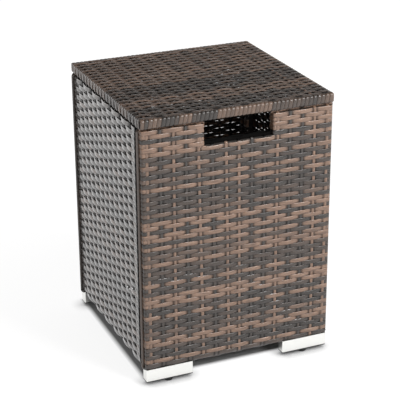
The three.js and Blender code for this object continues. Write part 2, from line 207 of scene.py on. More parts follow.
def makeStrandMaterial(look):
    material, tree, shader = newMaterial("wovenStrand")
    along = addNode(tree, "ShaderNodeAttribute", attribute_name="along").outputs["Fac"]
    across = addNode(tree, "ShaderNodeAttribute", attribute_name="across").outputs["Fac"]
    row = addNode(tree, "ShaderNodeAttribute", attribute_name="row").outputs["Fac"]
    tone = addNode(tree, "ShaderNodeAttribute", attribute_name="tone").outputs["Fac"]
    strandSeed = calculate(tree, "MULTIPLY", row, look["strandStep"])

    def addStrandNoise(noise):
        where = addNode(tree, "ShaderNodeCombineXYZ", {
            "X": calculate(tree, "MULTIPLY", along, noise["scale"][0]),
            "Y": calculate(tree, "MULTIPLY", across, noise["scale"][1]), "Z": strandSeed})
        return addNode(tree, "ShaderNodeTexNoise", {
            "Vector": where.outputs[0], "Scale": 1, "Detail": noise["detail"],
            "Roughness": noise["roughness"]}).outputs["Fac"]

    patches, streaks = addStrandNoise(look["patches"]), addStrandNoise(look["streaks"])
    shift = calculate(tree, "MULTIPLY", calculate(tree, "SUBTRACT", patches, 0.5), look["patchShift"])
    blend = addNode(tree, "ShaderNodeMath", {0: tone, 1: shift}, operation="ADD", use_clamp=True).outputs[0]
    streakMask = addNode(tree, "ShaderNodeMapRange", {
        "Value": streaks, "From Min": look["streakEdges"][0],
        "From Max": look["streakEdges"][1]}).outputs[0]
    darkMix = addNode(tree, "ShaderNodeMix", data_type="RGBA")
    tanMix = addNode(tree, "ShaderNodeMix", data_type="RGBA")
    for node, one, other in ((darkMix, "dark", "darkOther"), (tanMix, "tan", "tanOther")):
        tree.links.new(streakMask, node.inputs["Factor"])
        node.inputs["A"].default_value = look[one]
        node.inputs["B"].default_value = look[other]
    both = addNode(tree, "ShaderNodeMix", data_type="RGBA")
    tree.links.new(blend, both.inputs["Factor"])
    tree.links.new(darkMix.outputs["Result"], both.inputs["A"])
    tree.links.new(tanMix.outputs["Result"], both.inputs["B"])
    # A negative tone is painted shade on the dark side of a seam, and each dip's depth adds painted shade
    # at its bottom
    depth = addNode(tree, "ShaderNodeAttribute", attribute_name="depth").outputs["Fac"]
    seam = addNode(tree, "ShaderNodeMath", {0: tone, 1: -1}, operation="MULTIPLY", use_clamp=True)
    sunk = addNode(tree, "ShaderNodeMapRange", {
        "Value": depth, "From Min": look["dipStart"], "From Max": 1, "To Max": look["dipShade"]},
        interpolation_type="SMOOTHSTEP")
    paintedShade = calculate(tree, "MAXIMUM", seam.outputs[0], sunk.outputs[0])
    shaded = addNode(tree, "ShaderNodeMix", data_type="RGBA")
    tree.links.new(paintedShade, shaded.inputs["Factor"])
    tree.links.new(both.outputs["Result"], shaded.inputs["A"])
    shaded.inputs["B"].default_value = look["shade"]
    tree.links.new(shaded.outputs["Result"], shader.inputs["Base Color"])
    shader.inputs["Coat Roughness"].default_value = look["coatRoughness"]
    # The coat's weight is set per face, a painted reflection that brightens the side faces; painted shade
    # takes it away
    paintedSheen = addNode(tree, "ShaderNodeAttribute", attribute_name="paintedSheen").outputs["Fac"]
    coat = calculate(tree, "MULTIPLY", calculate(tree, "SUBTRACT", 1.0, paintedShade), paintedSheen)
    tree.links.new(coat, shader.inputs["Coat Weight"])
    low, high = look["roughness"]
    rough = addNode(tree, "ShaderNodeMapRange", {
        "Value": streaks, "From Min": noiseRange[0], "From Max": noiseRange[1],
        "To Min": low, "To Max": high})
    roughness = addNode(tree, "ShaderNodeMix", data_type="FLOAT")
    tree.links.new(paintedShade, roughness.inputs["Factor"])
    tree.links.new(rough.outputs[0], roughness.inputs["A"])
    roughness.inputs["B"].default_value = look["paintedShadeRoughness"]
    tree.links.new(roughness.outputs["Result"], shader.inputs["Roughness"])
    ridges = calculate(tree, "SINE", calculate(tree, "MULTIPLY", across, math.pi * look["ridges"]))
    ridged = calculate(tree, "MULTIPLY_ADD", ridges, look["ridgeShare"], streaks)
    addBump(tree, shader, ridged, look["bump"], look["ridgeHeight"])
    return material


# Other finishes

metalLook = {"grainScale": 900, "bump": 0.25, "bumpHeight": 0.03 * mm}
metalFinishes = {
    # name: colour, roughness, stretch of the brushing
    "brushedFoot": (colour(238, 238, 235), (0.3, 0.42), (0.03, 0.03, 1)),
    "zincSteel": (colour(176, 178, 182), (0.25, 0.4), (0.2, 0.2, 0.2)),
}

mouldedLook = {"cloudShare": 1 / 12, "bumpHeight": 0.1 * mm}
mouldedFinishes = {
    # name: colour, other colour, roughness, grain scale, bump
    "framePowderCoat": (colour(46, 42, 39), colour(54, 49, 45), (0.45, 0.6), 1500, 0.35),
    "blackPlastic": (colour(24, 24, 25), colour(30, 30, 31), (0.45, 0.6), 1800, 0.3),
    "bumperRubber": (colour(22, 22, 22), colour(28, 28, 28), (0.7, 0.85), 1400, 0.3),
    # a matt, nearly black finish that stands for shade on the strand faces deepest in a seam
    "paintedSeamShade": (colour(10, 9, 9), colour(14, 13, 12), (0.85, 0.95), 1200, 0.2),
}
paintedShadeGloss = 0.1  # the painted seam shade hardly reflects, so that it stays dark


def makeMetalMaterial(name, baseColour, roughness, stretch):
    material, tree, shader = newMaterial(name)
    place = addNode(tree, "ShaderNodeTexCoord").outputs["Object"]
    mapping = addNode(tree, "ShaderNodeMapping", {"Vector": place, "Scale": stretch})
    brushed = addGrain(tree, metalLook["grainScale"], *roughness, mapping.outputs[0])
    setInputs(shader, {"Base Color": baseColour, "Metallic": 1})
    tree.links.new(brushed.outputs["Value"], shader.inputs["Roughness"])
    addBump(tree, shader, brushed.outputs["Raw"], metalLook["bump"], metalLook["bumpHeight"])
    return material


def makeMouldedMaterial(name, baseColour, otherColour, roughness, grainScale, bump):
    material, tree, shader = newMaterial(name)
    grain = addGrain(tree, grainScale, *roughness)
    cloud = addGrain(tree, grainScale * mouldedLook["cloudShare"], 0, 1)
    mix = addNode(tree, "ShaderNodeMix", data_type="RGBA")
    tree.links.new(cloud.outputs["Value"], mix.inputs["Factor"])
    mix.inputs["A"].default_value = baseColour
    mix.inputs["B"].default_value = otherColour
    tree.links.new(mix.outputs["Result"], shader.inputs["Base Color"])
    tree.links.new(grain.outputs["Value"], shader.inputs["Roughness"])
    addBump(tree, shader, grain.outputs["Raw"], bump, mouldedLook["bumpHeight"])
    return material


strandMaterial = makeStrandMaterial(strandLook)
metals = {name: makeMetalMaterial(name, *values) for name, values in metalFinishes.items()}
moulded = {name: makeMouldedMaterial(name, *values) for name, values in mouldedFinishes.items()}
setInputs(moulded["paintedSeamShade"].node_tree.nodes["Principled BSDF"], {"Specular IOR Level": paintedShadeGloss})
print("materials made")

# Paths round a panel: straight runs and quarter arcs, walked in the plane


def walkPath(start, heading, segments, distances):
    points = []
    for distance in distances:
        place, angle, left = Vector(start), heading, distance
        for index, (length, turn) in enumerate(segments):
            step = left if index == len(segments) - 1 else min(left, length)
            if turn:
                side = math.copysign(1, turn)
                radius = length / abs(turn)
                centre = place + side * radius * Vector((-math.sin(angle), math.cos(angle)))
                angle += step / length * turn
                place = centre - side * radius * Vector((-math.sin(angle), math.cos(angle)))
            else:
                place = place + step * Vector((math.cos(angle), math.sin(angle)))
            left -= step
            if left <= 0:
                break
        points.append((place.x, place.y, angle))
    return points


def pathDistances(segments, straightStep, arcSteps):
    distances = [0.0]
    for length, turn in segments:
        begin = distances[-1]
        count = arcSteps if turn else max(1, round(length / straightStep))
        distances += [begin + length * (k + 1) / count for k in range(count)]
    return distances


# Geometry Nodes: strands laid along a route, once at each station, humped over what they cross

strandProfile = {
    "sides": 10,
    "thicknessPower": 1.7,  # above 1 flattens the faces
    "widthPower": 0.8,
    "waverScale": (14, 3.7),  # along each metre, and from strand to strand
    "waverDetail": 1,
}


def makeStrandTree(shape):
    tree = bpy.data.node_groups.new("wovenStrands", "GeometryNodeTree")
    for name, kind in (("Route", "Geometry"), ("Stations", "Object"), ("Crossing pitch", "Float"),
                       ("Hump height", "Float"), ("Parity", "Float"), ("Strand width", "Float"),
                       ("Strand thickness", "Float"), ("Dip sharpness", "Float"), ("Waver", "Float"),
                       ("Seed", "Float"), ("Material", "Material")):
        tree.interface.new_socket(name, in_out="INPUT", socket_type="NodeSocket" + kind)
    tree.interface.new_socket("Strands", in_out="OUTPUT", socket_type="NodeSocketGeometry")
    given = tree.nodes.new("NodeGroupInput").outputs
    route = addNode(tree, "GeometryNodeMeshToCurve", {"Mesh": given["Route"]})
    stations = addNode(tree, "GeometryNodeObjectInfo", {"Object": given["Stations"]})
    tilt = readAttribute(tree, "tilt")
    turnAngles = addNode(tree, "ShaderNodeCombineXYZ", {"X": tilt})
    turn = addNode(tree, "FunctionNodeEulerToRotation", {0: turnAngles.outputs[0]})
    copies = addNode(tree, "GeometryNodeInstanceOnPoints", {
        "Points": stations.outputs["Geometry"], "Instance": route.outputs[0], "Rotation": turn.outputs[0]})
    laid = addNode(tree, "GeometryNodeRealizeInstances", {"Geometry": copies.outputs[0]})
    along = readAttribute(tree, "along")
    row = readAttribute(tree, "row")
    lift = readAttribute(tree, "lift")
    crossing = calculate(tree, "DIVIDE", along, given["Crossing pitch"])
    count = calculate(tree, "ADD", calculate(tree, "ADD", crossing, row), given["Parity"])
    wave = calculate(tree, "COSINE", calculate(tree, "MULTIPLY", count, math.pi))
    depth = calculate(tree, "MULTIPLY_ADD", wave, -0.5, 0.5)  # 0 over the crossing strand, 1 under it
    dip = calculate(tree, "POWER", depth, given["Dip sharpness"])
    broad = calculate(tree, "MULTIPLY_ADD", dip, -2.0, 1.0)
    height = calculate(tree, "MULTIPLY", calculate(tree, "MULTIPLY", broad, lift), given["Hump height"])
    # the depth of each dip is kept for the painted shade in the material
    sunk = storeAttribute(tree, laid.outputs[0], "depth", calculate(tree, "MULTIPLY", dip, lift))
    # A copy's stored outward way doesn't turn with it, so it's turned here

    def turned(way):
        node = addNode(tree, "ShaderNodeVectorRotate", {"Vector": way}, rotation_type="X_AXIS")
        tree.links.new(tilt, node.inputs["Angle"])
        return node.outputs[0]

    stored = addNode(tree, "GeometryNodeInputNamedAttribute", {"Name": "outward"}, data_type="FLOAT_VECTOR")
    outward = turned(stored.outputs[0])
    rise = addNode(tree, "ShaderNodeVectorMath", {0: outward}, operation="SCALE")
    tree.links.new(height, rise.inputs["Scale"])
    alongScale, rowScale = shape["waverScale"]
    noisePlace = addNode(tree, "ShaderNodeCombineXYZ", {
        "X": calculate(tree, "MULTIPLY", along, alongScale),
        "Y": calculate(tree, "MULTIPLY", row, rowScale), "Z": given["Seed"]})
    noise = addNode(tree, "ShaderNodeTexNoise", {
        "Vector": noisePlace.outputs[0], "Scale": 1, "Detail": shape["waverDetail"]})
    centred = calculate(tree, "SUBTRACT", noise.outputs["Fac"], 0.5)
    acrossWay = addNode(tree, "ShaderNodeCombineXYZ", {
        "Z": calculate(tree, "MULTIPLY", centred, given["Waver"])})
    offset = addNode(tree, "ShaderNodeVectorMath", {
        0: rise.outputs[0], 1: turned(acrossWay.outputs[0])}, operation="ADD")
    humped = addNode(tree, "GeometryNodeSetPosition", {"Geometry": sunk, "Offset": offset.outputs[0]})
    normals = addNode(tree, "GeometryNodeSetCurveNormal", {
        "Curve": humped.outputs[0], "Normal": outward}, mode="FREE")
    circle = addNode(tree, "GeometryNodeCurvePrimitiveCircle", {
        "Resolution": shape["sides"], "Radius": 1}, mode="RADIUS")
    position = addNode(tree, "GeometryNodeInputPosition")
    parts = addNode(tree, "ShaderNodeSeparateXYZ", {0: position.outputs[0]})
    marked = storeAttribute(tree, circle.outputs[0], "across", parts.outputs["Y"])

    def squared(value, power, size):
        sign = calculate(tree, "SIGN", value)
        shaped = calculate(tree, "POWER", calculate(tree, "ABSOLUTE", value), power)
        half = calculate(tree, "MULTIPLY", size, 0.5)
        return calculate(tree, "MULTIPLY", calculate(tree, "MULTIPLY", sign, shaped), half)

    flat = addNode(tree, "ShaderNodeCombineXYZ", {
        "X": squared(parts.outputs["X"], shape["thicknessPower"], given["Strand thickness"]),
        "Y": squared(parts.outputs["Y"], shape["widthPower"], given["Strand width"])})
    profile = addNode(tree, "GeometryNodeSetPosition", {"Geometry": marked, "Position": flat.outputs[0]})
    strip = addNode(tree, "GeometryNodeCurveToMesh", {
        "Curve": normals.outputs[0], "Profile Curve": profile.outputs[0], "Fill Caps": True})
    smooth = addNode(tree, "GeometryNodeSetShadeSmooth", {"Geometry": strip.outputs[0]})
    kept = storeAttribute(tree, smooth.outputs[0], "row", row)
    whole = addNode(tree, "GeometryNodeRealizeInstances", {"Geometry": kept})
    painted = addNode(tree, "GeometryNodeSetMaterial", {
        "Geometry": whole.outputs[0], "Material": given["Material"]})
    finished = tree.nodes.new("NodeGroupOutput")
    tree.links.new(painted.outputs[0], finished.inputs[0])
    return tree


strandTree = makeStrandTree(strandProfile)


def pointMesh(name, points, edges, attributes):
    mesh = bpy.data.meshes.new(name)
    mesh.from_pydata(points, edges, [])
    for attributeName, kind, values in attributes:
        field = "vector" if kind == "FLOAT_VECTOR" else "value"
        flat = [part for value in values for part in value] if kind == "FLOAT_VECTOR" else values
        mesh.attributes.new(attributeName, kind, "POINT").data.foreach_set(field, flat)
    thing = bpy.data.objects.new(name, mesh)
    bpy.context.scene.collection.objects.link(thing)
    return thing


def runTree(thing, tree, inputs):
    modifier = thing.modifiers.new(tree.name, "NODES")
    modifier.node_group = tree
    for item in tree.interface.items_tree:
        if item.item_type == "SOCKET" and item.in_out == "INPUT" and item.name in inputs:
            modifier[item.identifier] = inputs[item.name]
    graph = bpy.context.evaluated_depsgraph_get()
    mesh = bpy.data.meshes.new_from_object(thing.evaluated_get(graph), depsgraph=graph)
    bpy.data.objects.remove(thing)
    return mesh


def layStrands(route, stations, weave, width, pitch, steps, hump, parity, seed):
    segments, origin = route["segments"], route["origin"]
    distances = pathDistances(segments, pitch / steps, weave["arcSteps"])
    walked = walkPath(route["start"], route["heading"], segments, distances)
    points = [(x, y - route["faceDepth"], 0) for x, y, _ in walked]
    outward = [(math.sin(angle), -math.cos(angle), 0) for _, _, angle in walked]
    edges = [(k, k + 1) for k in range(len(points) - 1)]
    along = [distance - origin for distance in distances]
    lifts = [route["lift"](distance) for distance in distances]
    carrier = pointMesh("route", points, edges, [
        ("along", "FLOAT", along), ("lift", "FLOAT", lifts), ("outward", "FLOAT_VECTOR", outward)])
    places = pointMesh("stations", [place for place, _, _ in stations], [], [
        ("tilt", "FLOAT", [tilt for _, tilt, _ in stations]),
        ("row", "FLOAT", [float(row) for _, _, row in stations])])
    mesh = runTree(carrier, strandTree, {
        "Stations": places, "Crossing pitch": pitch, "Hump height": hump, "Parity": float(parity),
        "Strand width": width, "Strand thickness": weave["strandThickness"],
        "Dip sharpness": weave["dipSharpness"], "Waver": weave["waver"], "Seed": float(seed),
        "Material": strandMaterial})
    bpy.data.objects.remove(places)
    return mesh


# A strand's route over one panel: along the outer face, and at each end round the edge tube


def panelRoute(low, high, thickness, weave, radius, firstCrossing, wrap):
    inset, small = weave["inset"], weave["sleeveRadius"]
    half = thickness / 2 - inset
    corner = (radius * math.pi / 2, math.pi / 2)
    turnBack = (small * math.pi / 2, math.pi / 2)
    side = (2 * (half - radius), 0)
    inner = (weave["sleeveWidth"] - inset - radius - small, 0)
    tail = (weave["tail"], 0)
    ends = {"sleeve": [tail, turnBack, inner, corner, side, corner], "corner": [corner], "none": []}[wrap]
    margin = 0 if wrap == "none" else inset + radius
    face = (high - low - 2 * margin, 0)
    starts = {
        "sleeve": ((low + weave["sleeveWidth"], half - small - weave["tail"]), math.pi / 2),
        "corner": ((low + inset, radius - half), -math.pi / 2),
        "none": ((low, -half), 0.0),
    }
    start, heading = starts[wrap]
    faceStart = sum(length for length, _ in ends)
    edgeLift = weave["edgeLift"]
    roundEnd = sum(length for length, _ in ends[-3:])

    def lift(distance):
        beyond = max(faceStart - distance, distance - faceStart - face[0])
        flatBand = weave["flatBand"] if distance > faceStart + face[0] / 2 else weave["lowFlatBand"]
        if beyond > 0:
            return edgeLift if beyond <= roundEnd else 0.0
        return 1.0 if wrap == "none" else float(np.interp(margin - beyond, flatBand, (edgeLift, 1.0)))

    return {"segments": ends + [face] + ends[::-1], "start": start, "heading": heading, "lift": lift,
            "origin": faceStart + firstCrossing - (low + margin), "faceDepth": -half,
            "faceEnds": (faceStart, faceStart + face[0]), "corner": corner[0], "side": side[0]}


def stationOn(route, distance, number, upright):
    # Where a strand crosses a route that runs the other way, and how far it's tilted there
    across, deep, angle = walkPath(route["start"], route["heading"], route["segments"], [distance])[0]
    angle -= 2 * math.pi * round(angle / (2 * math.pi))
    return ((0, deep, -across), angle, number) if upright else ((0, deep, across), -angle, number)


def rimStations(route, width, lap, high, firstNumber):
    # Two rows lie flat on the rim, from the outer corner inwards, and two more run down its inner side
    onRim = [width / 2 - lap, 1.5 * width - lap]
    inner = [route["side"] + route["corner"] + share * width for share in (0.5, 1.5)]
    face, way = (route["faceEnds"][1], 1) if high else (route["faceEnds"][0], -1)
    return [stationOn(route, face + way * (route["corner"] + place), firstNumber + way * k, False)
            for k, place in enumerate(onRim + inner)]


def faceStation(route, place, number, upright):
    return ((0, route["faceDepth"], -place if upright else place), 0.0, number)


uprightAxes = Matrix(((0, 0, -1, 0), (0, 1, 0, 0), (1, 0, 0, 0), (0, 0, 0, 1)))


def joinPieces(name, meshes):
    things = []
    for mesh in meshes:
        thing = bpy.data.objects.new(name, mesh)
        bpy.context.scene.collection.objects.link(thing)
        things.append(thing)
    with bpy.context.temp_override(active_object=things[0], object=things[0], selected_objects=things,
                                   selected_editable_objects=things):
        bpy.ops.object.join()
    return things[0]


def readPoints(mesh):
    places = np.empty(3 * len(mesh.vertices), dtype=np.float32)
    mesh.vertices.foreach_get("co", places)
    return places.reshape(-1, 3)


def readValues(mesh, name):
    values = np.empty(len(mesh.vertices), dtype=np.float32)
    mesh.attributes[name].data.foreach_get("value", values)
    return values


toneBlend = 8  # mm, half of the stretch in which a row turns from one tone to another


def toneAt(value, across):
    # A number is one tone all along; (left tone, right tone, place in mm) changes tone at that place
    if isinstance(value, tuple):
        left, right, place = value
        return left + (right - left) / (1 + np.exp(-(across / mm - place) / toneBlend))
    return np.full(len(across), float(value))


def paintTones(mesh, tones, rest, alongAxis, seed, paintedSheen):
    # Strands without a tone of their own take one at random from rest
    rows, places = readValues(mesh, "row"), readPoints(mesh)
    tone = np.zeros(len(rows), dtype=np.float32)
    chooser = random.Random(seed)
    for row in sorted(set(rows.tolist())):
        chance = chooser.choice(rest)
        chosen = rows == row
        tone[chosen] = toneAt(tones.get(round(row), chance), places[chosen][:, alongAxis])
    for name, values in (("tone", tone), ("paintedSheen", np.full(len(rows), paintedSheen, dtype=np.float32))):
        mesh.attributes.new(name, "FLOAT", "POINT").data.foreach_set("value", values)


# Woven panels. Rows run across, uprights run up and over the rims

panelWeave = {
    "rowWidth": 9.2 * mm,
    "uprightWidth": 6.4 * mm,
    "strandThickness": 1.9 * mm,
    "dipSharpness": 1.5,  # 1 is an even wave
    "waver": 0.5 * mm,
    "paintedSheen": 0.36,  # coat of the outer face, set per face as a painted reflection
    # a stronger coat on the side faces, a painted reflection that brightens them
    "paintedSideSheen": 1.0,
    "paintedWrapSheen": 0.36,
    "inset": 1.05 * mm,  # from the outer face to the middle of a strand
    "cornerRadius": 3 * mm,  # at the upright edges
    "rimRadius": 3 * mm,
    "rimLap": 1 * mm,
    "sleeveRadius": 2 * mm,
    "sleeveWidth": 18.9 * mm,
    "tail": 4 * mm,
    "edgeLift": 0.4,
    "edgeRise": 1.5 * mm,  # how far the upright on a side edge stands over the rows
    "edgeWidth": 9.5 * mm,
    "fieldRise": 0,  # and how far the field between the edges stands over their flat band
    "fieldStart": (9 * mm, 12 * mm),
    "sideFace": (2 * mm, 3.5 * mm),  # the side face ends between these distances from the edge
    "seam": (7 * mm, 8.5 * mm),  # painted shade on the side face, from the outer face to these depths
    "seamTone": -0.9,  # faces with a tone below this are deepest in painted shade and take the matt finish
    "flatBand": (7 * mm, 16 * mm),  # humps grow to their full height between these distances from the edge
    "lowFlatBand": (7 * mm, 16 * mm),  # the same at the left edge and the lower rim
    "rowHump": 1.1 * mm,
    "uprightHump": 0.15 * mm,
    "rowSteps": 8,  # for each crossing
    "uprightSteps": 4,
    "arcSteps": 3,
}

sidePanelWeave = {
    **panelWeave,
    "rowWidth": 10.2 * mm,
    "uprightWidth": 6 * mm,
    "dipSharpness": 1.1,
    # a full coat on the side panels, a painted reflection that brightens them
    "paintedSheen": 1.0,
    "cornerRadius": 6.3 * mm,
    "edgeLift": 0.1,
    "edgeWidth": 6 * mm,
    "rowHump": 1.5 * mm,
    "fieldRise": 1.2 * mm,
    "flatBand": (13 * mm, 20 * mm),
    "lowFlatBand": (6 * mm, 11 * mm),
    "seam": (12 * mm, 14.5 * mm),  # painted shade from the right end inwards
    "lowSeam": (2 * mm, 4 * mm),  # and from the left end
}

rightPanelWeave = {
    **sidePanelWeave,
    "uprightWidth": 8 * mm,
    # a weaker coat than on the left panel: less painted reflection on the right face
    "paintedSheen": 0.4,
    "seam": sidePanelWeave["lowSeam"],
    "lowSeam": sidePanelWeave["seam"],
}

backPanelWeave = {**panelWeave, "rowWidth": 9 * mm, "rowHump": 1.25 * mm, "seam": (2.5 * mm, 4 * mm)}

rowPitch = 8.53 * mm
rowStart = 5.74 * mm  # height of row 0, below the panel
# How far from a rim, in mm, the rows begin to drift, and how far they fully do
rimHolds = {"topHold": (2.5, 5.5), "lowHold": (0, 12)}

frontPanel = {
    "turn": 0,
    "weave": panelWeave,
    "rowPitch": rowPitch,
    "rowStart": rowStart,
    "rows": (4, 60),  # first and last that show on the face
    "uprightPitch": 26.6 * mm,
    "uprights": 7,  # on each side of the middle one
    "edgeShare": 0.66,  # of the side face's width, from the outer corner to the edge upright
    "notch": {
        "half": 70.5 * mm,
        "bottom": 484.5 * mm,
        "lastRow": 55,
        "rimRow": 156,
        "lastUpright": 2,
        "sillTuck": 2 * mm,  # how far the sill's rows run in behind the posts
        "shownUprights": 1,  # on each side of the middle, these show over the sill, out of its painted shade
        "shownDepth": 4 * mm,
        "sillEdge": (2 * mm, 3 * mm),  # the sill's painted shade starts this far inside the posts and below its rim
        "postReach": (8, 12),  # mm beside the notch, where strands begin to lean again, and fully do
        "postStart": (60, 6),  # mm from the middle and below the rim, where the posts' strands start
        "sillReach": (0.5, 2.5),  # mm inside the posts, where rows begin to keep their places, and fully do
        "sillHeights": (-7, -4),  # the same, in mm over the sill's rim
    },
    # By number: 0 is dark, 1 is tan and below 0 is in painted shade
    "rowTones": {
        156: -1, 157: -1, 158: -1, 159: -1,  # painted shade on the sill
        61: 1, 60: 1, 59: 1, 58: (0, 1, 0), 57: (1, 0.9, 0), 56: (1, 0, 0), 55: 1,
        52: (0.7, 0.9, -60), 49: (0.5, 0.9, -60), 47: 1, 41: 0.5, 39: 1, 38: 1,
        36: 1, 35: 1, 33: 1, 31: (0.3, 0.8, 0), 30: (0.3, 0.8, 0), 29: 1, 24: 1, 21: 1, 20: 1, 19: 1,
        16: 1, 12: (0.3, 0.7, 0), 10: 1, 9: 1, 5: 1,
    },
    "otherRows": (0.02, 0.06, 0.12),
    "uprightTones": {
        -8: 0.35, -7: 0.9, -6: 0, -5: 0.9, -4: 0, -3: 1, -2: 0, -1: 1, 0: 1,
        1: 0, 2: 0, 3: 1, 4: 0, 5: 0, 6: 1, 7: 0.9, 8: 0.15,
    },
    "otherUprights": (0.1,),
    # Place across, how far the uprights there lean, bottom less top, and stand off their places, in mm
    "lean": ((-186, 0, 0), (-133, 0, 0), (-80, 9.3, 0.2), (-27, 7.6, 2.8), (0, 2.7, 0.8), (53, 0, 0),
             (80, -1.7, 0), (133, 0, 0), (160, 2.3, 0), (186, 0, 0)),
    # How high the rows sit over their places, by the place across and by height, in mm
    "drift": ((-197, 2.5), (-120, 1.6), (-60, 0), (197, 0)),
    "rise": ((400, 0), (450, 1.3), (475, 2), (488, 3.3), (520, 3.2)),
    **rimHolds,
}

backPanel = {
    "turn": math.pi, "weave": backPanelWeave, "rowPitch": rowPitch, "rowStart": rowStart,
    "uprightPitch": 26.6 * mm, "uprights": 7, "edgeShare": 0.66, "rows": (4, 60),
    "rowTones": {}, "otherRows": (0.02, 0.06, 0.1, (1, 0.1, 150), 0.05, (0.9, 0.05, 140), (0.4, 0, 150)),
    "uprightTones": {-8: 0.1, 8: 0.1}, "otherUprights": (0.05, 1, 0.9),
    "lean": ((-197, 0, 0), (-60, 3, 0), (60, -2, 1), (197, 0, 0)), "drift": ((-197, 0), (0, 1), (197, 0)),
    "rise": ((400, 0), (520, 3)),
    **rimHolds,
}

leftPanel = {
    "turn": -math.pi / 2, "weave": sidePanelWeave, "rowPitch": 8.73 * mm, "rowStart": 5.2 * mm,
    "uprightPitch": 27.67 * mm, "uprights": 6, "edgeShare": 2.5, "rows": (4, 59),
    "rowTones": {}, "otherRows": (0.02, 0.06, 0.1, 0.15, 0.4),
    # tones below 0 paint the side panels' uprights in shade, as they lie sunk between the rows
    "uprightTones": {}, "otherUprights": (-0.7, -0.5),
    "lean": ((-174, 0, 0), (174, 0, 0)), "drift": ((-174, 0), (174, 0)), "rise": ((400, 0), (520, 1)),
    **rimHolds,
}

rightPanel = {
    **leftPanel,
    "turn": math.pi / 2,
    "weave": rightPanelWeave,
    "otherRows": (0.02, 0.06, 1, 0.1, 0.05, 0.8, 0.4),
}


# Painted shade in the seams between panels and on the notch's sill: the tone is pushed below 0 there
def paintSeamShade(mesh, panel):
    places, row = readPoints(mesh), readValues(mesh, "row")
    weave, notch, across = panel["weave"], panel.get("notch"), places[:, 0]
    fromEnd = np.abs(across).max() - np.abs(across)
    fromFace = places[:, 1] - places[:, 1].min()
    if "lowSeam" in weave:
        dark = np.where(across > 0, np.interp(fromEnd, weave["seam"], (1, 0)),
                        np.interp(fromEnd, weave["lowSeam"], (1, 0)))
    else:
        onSideFace = np.interp(fromEnd, weave["sideFace"], (1, 0))
        dark = onSideFace * np.interp(fromFace, weave["seam"], (1, 0))
        # the side faces take the stronger coat, a painted reflection
        paintedSheen = weave["paintedSheen"] + onSideFace * (weave["paintedSideSheen"] - weave["paintedSheen"])
        mesh.attributes["paintedSheen"].data.foreach_set("value", paintedSheen.astype(np.float32))
    if notch:  # painted shade on the sill, under the lid; only two uprights are left out of it
        inside, below = notch["sillEdge"]
        onSill = (np.abs(across) < notch["half"] - inside) & (places[:, 2] > notch["bottom"] - below)
        shown = (np.abs(row) == notch["shownUprights"]) & (fromFace < notch["shownDepth"])
        dark = np.where(onSill & ~shown, 1, dark)
    tone = readValues(mesh, "tone")
    tone = (tone * (1 - dark) - dark).astype(np.float32)
    mesh.attributes["tone"].data.foreach_set("value", tone)
    # The faces deepest in painted shade take the matt painted-shade finish
    mesh.materials.append(moulded["paintedSeamShade"])
    corners = np.empty(len(mesh.loops), dtype=np.int32)
    mesh.loops.foreach_get("vertex_index", corners)
    starts = np.empty(len(mesh.polygons), dtype=np.int32)
    mesh.polygons.foreach_get("loop_start", starts)
    lightest = np.maximum.reduceat(tone[corners], starts)
    mesh.polygons.foreach_set("material_index", (lightest < weave["seamTone"]).astype(np.int32))


def columns(rows):
    return [np.array(column) for column in zip(*rows)]


def leanAndDrift(mesh, panel, bottom, top):
    places = readPoints(mesh)
    weave, notch = panel["weave"], panel.get("notch")
    across, height = places[:, 0] / mm, places[:, 2] / mm
    leanAt, leans, shifts = columns(panel["lean"])
    driftAt, drifts = columns(panel["drift"])
    riseAt, rises = columns(panel["rise"])
    share = (places[:, 2] - (bottom + top) / 2) / (top - bottom)
    give = np.ones(len(places))
    fade = (np.interp(top / mm - height, panel["topHold"], (0, 1))
            * np.interp(height - bottom / mm, panel["lowHold"], (0, 1)))
    if notch:  # the strands round the notch's posts and on its sill stay where the tubes are
        fromPost, fromSill = np.abs(across) - notch["half"] / mm, height - notch["bottom"] / mm
        beside, below = notch["postStart"]
        byPost = (fromSill > -below) & (np.abs(across) > beside)
        give = np.where(byPost, np.interp(fromPost, notch["postReach"], (0, 1)), 1)
        onSill = np.interp(-fromPost, notch["sillReach"], (0, 1))
        fade *= 1 - onSill * np.interp(fromSill, notch["sillHeights"], (0, 1))
    if weave["fieldRise"]:
        half = np.abs(places[:, 0]).max()
        fromEdge = np.minimum.reduce(
            (half - np.abs(places[:, 0]), top - places[:, 2], places[:, 2] - bottom))
        inField = np.interp(fromEdge, weave["fieldStart"], (0, 1))
        places[:, 1] -= np.where(places[:, 1] < 0, inField * weave["fieldRise"], 0)
    leaning = np.interp(across, leanAt, shifts) - share * np.interp(across, leanAt, leans)
    places[:, 0] += mm * give * leaning
    places[:, 2] += mm * fade * (np.interp(across, driftAt, drifts) + np.interp(height, riseAt, rises))
    mesh.vertices.foreach_set("co", places.ravel())


